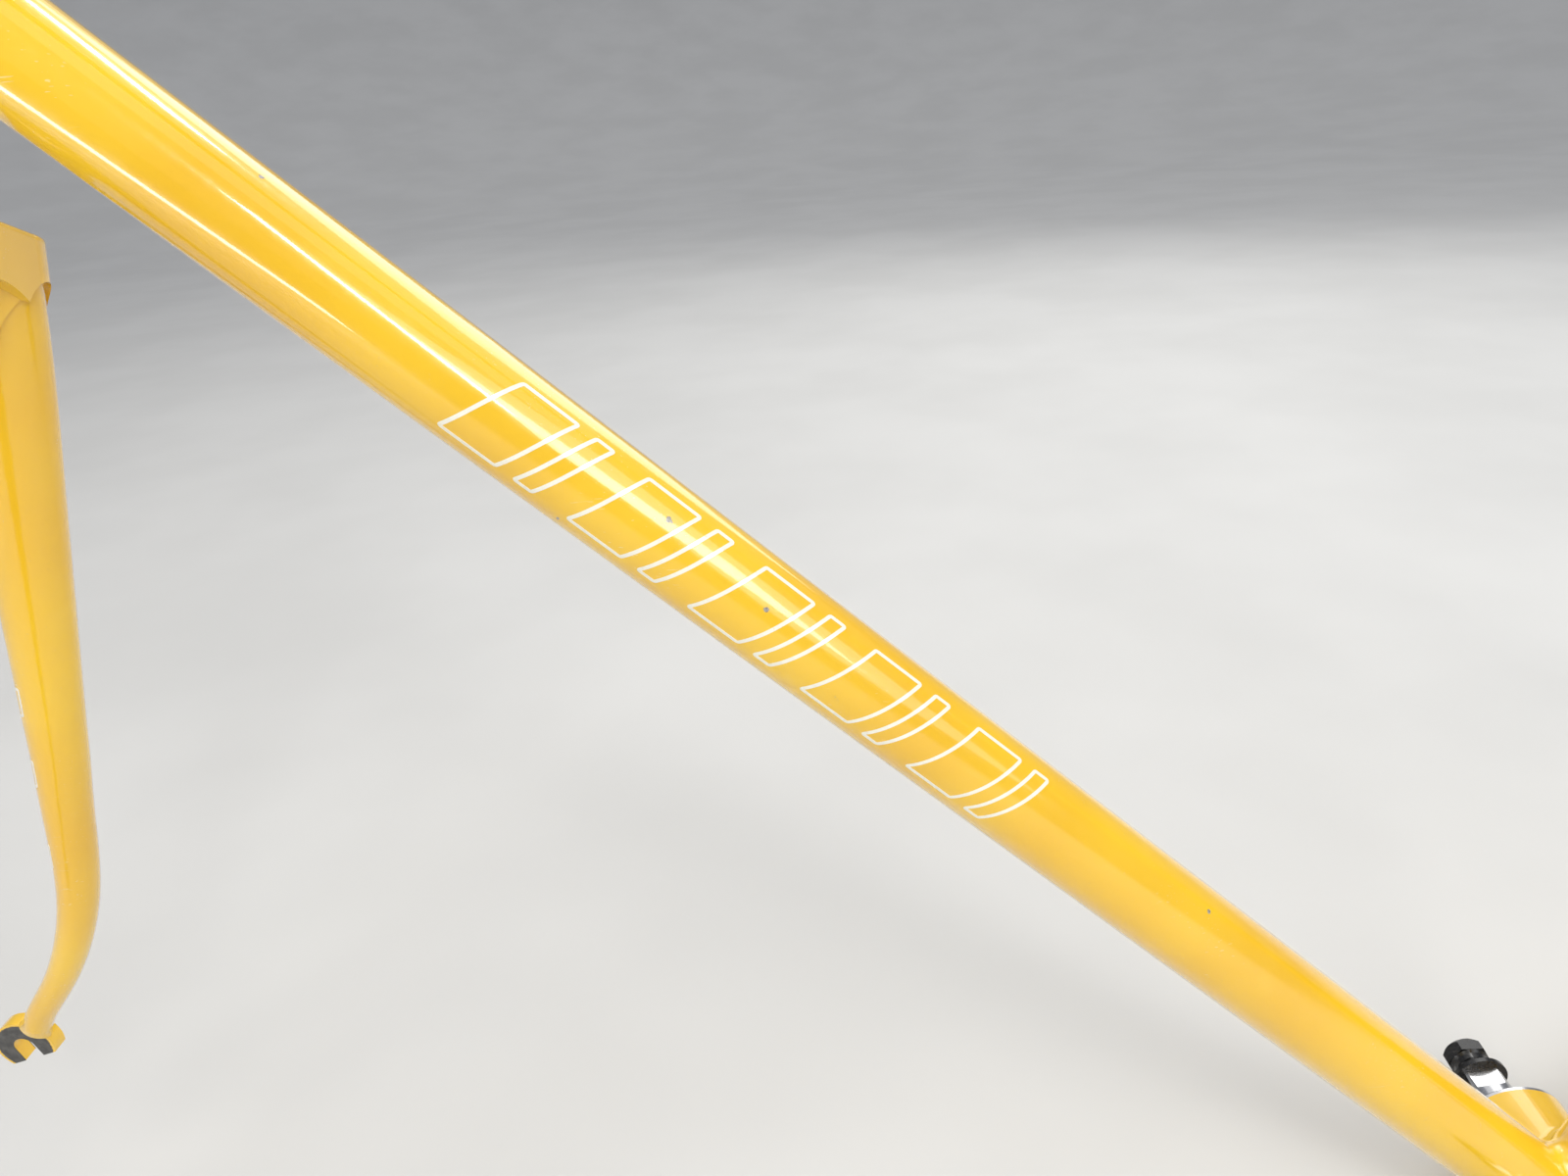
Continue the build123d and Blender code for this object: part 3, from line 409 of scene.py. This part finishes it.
# Fork blades: three outlines on each
FORK_MARK_RUNS = (0.126, 0.157, 0.196)          # down the blade, from 30 mm below its top
FORK_MARK_TURN = math.radians(12)               # from the front of the blade
FORK_MARK_WIDE, FORK_MARK_TALL, FORK_MARK_LEAN = 0.011, 0.022, 0.35
BLADE_RADIUS = 0.010        # turns a distance round the blade into an angle
BLADE_TOP_DOWN = 0.03       # the two heights that give the blade's straight part its centre line
BLADE_LOW_SHARE = 0.45


def split_line(corners):
    """Points along a closed outline of straight sides, no further apart than the fine step."""
    points = []
    for first, last in zip(corners, corners[1:] + corners[:1]):
        count = max(1, math.ceil((last - first).length / FINE))
        points += [first.lerp(last, number / count) for number in range(count)]
    return points


def rounded(corners, radius):
    """The same outline with every corner turned into a short arc."""
    out = []
    count = len(corners)
    for number, corner in enumerate(corners):
        back = (corners[number - 1] - corner).normalized()
        on = (corners[(number + 1) % count] - corner).normalized()
        start, end = corner + back * radius, corner + on * radius
        for step in range(CORNER_STEPS + 1):
            share = step / CORNER_STEPS
            out.append(start * (1 - share) ** 2 + corner * 2 * share * (1 - share) + end * share ** 2)
    return out


def slanted_bar(wide, tall, lean):
    """A leaning four-sided outline."""
    half_w, half_t = wide / 2, tall / 2
    shift = lean * half_t
    corners = [(-half_w - shift, -half_t), (half_w - shift, -half_t), (half_w + shift, half_t),
               (-half_w + shift, half_t)]
    return [Vector(corner) for corner in corners]


def add_mark(mesh, surface, tube, outline, run, turn, reach):
    """One closed painted line laid on a surface: the outline is in metres along and round the tube."""
    points = split_line(rounded(outline, MARK_STROKE * MARK_CORNER))
    count = len(points)
    rings = []
    for number, point in enumerate(points):
        way = (points[(number + 1) % count] - points[number - 1]).normalized()
        across = Vector((-way.y, way.x)) * MARK_STROKE / 2
        ring = []
        for share, raise_by in ((-1, -MARK_RAISE), (-1, MARK_RAISE), (1, MARK_RAISE), (1, -MARK_RAISE)):
            spot = point + across * share
            spin = turn + spot.y / reach
            out = tube.outward(spin)
            origin = tube.centre(run + spot.x) + out * RAY_START
            found, _, _, _ = surface.ray_cast(origin, -out)
            if found is None:       # off the end of the surface: this mark is left out
                return
            ring.append(mesh.verts.new(found + out * raise_by))
        rings.append(ring)
    for number, ring in enumerate(rings):
        following = rings[(number + 1) % count]
        for side in range(4):
            other = (side + 1) % 4
            mesh.faces.new((ring[side], ring[other], following[other], following[side]))


def surface_of(node):
    mesh = bmesh.new()
    mesh.from_mesh(NODES[node].data)
    tree = BVHTree.FromBMesh(mesh)
    mesh.free()
    return tree


def lay_marks(name, node, body, tube, marks, reach, material):
    """A piece holding several marks on one node."""
    surface = surface_of(node)
    mesh = bmesh.new()
    for outline, run, turn in marks:
        add_mark(mesh, surface, tube, outline, run, turn, reach)
    bmesh.ops.recalc_face_normals(mesh, faces=mesh.faces)
    data = bpy.data.meshes.new(name)
    mesh.to_mesh(data)
    mesh.free()
    data.materials.append(material)
    piece = bpy.data.objects.new(name, data)
    bpy.context.scene.collection.objects.link(piece)
    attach(piece, body)


def down_tube_marks(side):
    """Five pairs of leaning outlines along the tube's side, a broad bar followed by a slim one."""
    marks = []
    for number in range(PAIRS):
        run = PAIR_FIRST + PAIR_PITCH * number
        for wide, after in ((BROAD_WIDE, 0.0), (SLIM_WIDE, SLIM_AFTER)):
            marks.append((slanted_bar(wide, PAIR_TALL, -PAIR_LEAN * side), run + after, PAIR_TURN * side))
    return marks


class Blade(Tube):
    """A fork blade's upper, straight part. Its up is the way forward, across the blade."""

    def __init__(self, node):
        low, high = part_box(node)
        top = slice_centre(node, high.z - BLADE_TOP_DOWN)
        lower = slice_centre(node, low.z + (high.z - low.z) * BLADE_LOW_SHARE)
        super().__init__(top, lower)
        forward = Vector((-1.0, 0.0, 0.0))
        self.up = (forward - self.along * forward.dot(self.along)).normalized()


def fork_marks(side):
    """Three leaning outlines down a blade's front."""
    outline = slanted_bar(FORK_MARK_WIDE, FORK_MARK_TALL, FORK_MARK_LEAN)
    return [(outline, run, FORK_MARK_TURN * side) for run in FORK_MARK_RUNS]


def add_marks():
    white = mark_paint()
    for name, side in (("left", -1), ("right", 1)):
        marks = down_tube_marks(side)
        lay_marks(f"down_tube_marks_{name}", "down_tube", "frame", DOWN_TUBE, marks, DOWN_RADIUS, white)
        blade = f"fork_blade_{name}"
        lay_marks(f"fork_marks_{name}", blade, "fork", Blade(blade), fork_marks(side), BLADE_RADIUS, white)


# ---------------------------------------------------------------- floor, light and camera

FLOOR_FLAT, FLOOR_RIM = 4.5, 12.0       # the floor is flat out to one radius, and rises to the other
FLOOR_CURVE = 12.0                      # its rise is the square of the distance past the flat, over this
FLOOR_HUB = 0.01
FLOOR_RINGS, FLOOR_SPOKES = 24, 72
FLOOR_GAP = 0.0005                      # below the part's lowest point
SKY_STRENGTH = 0.38
AIM = (-0.25, 0.0, 0.22)                # near the middle of the down tube

def area_light(name, place, aim, size, power, color, size_y=None):
    data = bpy.data.lights.new(name, "AREA")
    data.shape = "RECTANGLE"
    data.size = size
    data.size_y = size_y or size
    data.energy = power
    data.color = color
    lamp = bpy.data.objects.new(name, data)
    lamp.location = place
    lamp.rotation_euler = (Vector(aim) - Vector(place)).to_track_quat("-Z", "Y").to_euler()
    lamp.visible_camera = False
    bpy.context.scene.collection.objects.link(lamp)
    return lamp


def strip_light(name, start, end, aim, width, power, color):
    """A long narrow lamp between two points, facing the object."""
    start, end = Vector(start), Vector(end)
    middle = (start + end) / 2
    along = (end - start).normalized()
    away = middle - Vector(aim)
    away = (away - along * away.dot(along)).normalized()
    lamp = area_light(name, middle, aim, (end - start).length, power, color, width)
    axes = Matrix((along, away.cross(along), away)).transposed()
    lamp.matrix_world = Matrix.Translation(middle) @ axes.to_4x4()


def add_floor():
    """A pale floor that curves up far away."""
    mesh = bmesh.new()
    turns = [math.tau * spoke / FLOOR_SPOKES for spoke in range(FLOOR_SPOKES)]
    rings = []
    for step in range(FLOOR_RINGS + 1):
        radius = FLOOR_RIM * step / FLOOR_RINGS + FLOOR_HUB
        rise = max(radius - FLOOR_FLAT, 0.0) ** 2 / FLOOR_CURVE
        rings.append([mesh.verts.new((radius * math.cos(turn), radius * math.sin(turn), rise))
                      for turn in turns])
    mesh.faces.new(rings[0])
    for inner, outer in zip(rings, rings[1:]):
        for spoke in range(FLOOR_SPOKES):
            other = (spoke + 1) % FLOOR_SPOKES
            mesh.faces.new((inner[spoke], outer[spoke], outer[other], inner[other])).smooth = True
    data = bpy.data.meshes.new("floor")
    mesh.to_mesh(data)
    mesh.free()
    data.materials.append(floor_paper())
    floor = bpy.data.objects.new("floor", data)
    floor.location.z = CAD_BOX[0][2] - FLOOR_GAP
    bpy.context.scene.collection.objects.link(floor)


def add_sky():
    """Soft light from all round."""
    world = bpy.data.worlds.new("studio")
    world.use_nodes = True
    background = world.node_tree.nodes["Background"]
    background.inputs["Color"].default_value = SKY
    background.inputs["Strength"].default_value = SKY_STRENGTH
    bpy.context.scene.world = world


def add_lamps():
    """Broad soft lamps, and narrow ones that draw the long highlights on the tubes."""
    area_light("key", (-1.3, -1.1, 2.2), AIM, 1.6, 25.0, WARM)
    area_light("fill", (1.5, -1.6, 1.5), AIM, 1.8, 16.0, COOL)
    area_light("back", (0.5, 1.9, 1.6), AIM, 1.6, 18.0, WHITE)
    area_light("ceiling", (0.0, 2.5, 5.0), (0.0, 2.5, 0.0), 9.0, 150.0, WHITE)
    strip_light("tube_top", (-0.10, 1.00, 2.05), (0.32, 0.74, 2.12), AIM, 0.16, 7.0, WHITE)
    strip_light("tube_middle", (0.15, -1.32, 1.80), (0.42, -1.62, 1.25), AIM, 0.14, 6.5, WHITE)
    strip_light("tube_band", (0.40, -1.62, 1.30), (1.22, -1.16, 1.00), AIM, 0.60, 11.0, WHITE)
    strip_light("tube_low", (-2.15, -0.75, 0.12), (-1.05, -1.80, 0.16), AIM, 0.10, 6.0, WHITE)


# The camera looks across and down at the left side, from close to the middle of the down tube.
# Its place and its angles, in radians, come from a fit to the photograph's edges.
CAMERA_PLACE = Vector((-0.2462, -0.2672, 0.3873))
CAMERA_YAW, CAMERA_PITCH, CAMERA_ROLL = -0.0641, 0.4329, -0.0831
CAMERA_LENS = 24.82         # on a 36 mm wide sensor


def add_camera():
    level = Vector((math.cos(CAMERA_YAW), -math.sin(CAMERA_YAW), 0.0))
    ahead = Vector((math.sin(CAMERA_YAW), math.cos(CAMERA_YAW), 0.0))
    forward = ahead * math.cos(CAMERA_PITCH) - Vector((0.0, 0.0, math.sin(CAMERA_PITCH)))
    above = level.cross(forward)
    right = level * math.cos(CAMERA_ROLL) + above * math.sin(CAMERA_ROLL)
    up = above * math.cos(CAMERA_ROLL) - level * math.sin(CAMERA_ROLL)
    data = bpy.data.cameras.new("camera")
    data.lens = CAMERA_LENS
    data.sensor_width = 36.0
    data.clip_start = 0.01
    camera = bpy.data.objects.new("camera", data)
    turn = Matrix((right, up, -forward)).transposed()
    camera.matrix_world = Matrix.Translation(CAMERA_PLACE) @ turn.to_4x4()
    bpy.context.scene.collection.objects.link(camera)
    bpy.context.scene.camera = camera


bpy.context.scene.view_settings.view_transform = "Standard"
paint_nodes()
add_marks()
add_floor()
add_sky()
add_lamps()
add_camera()
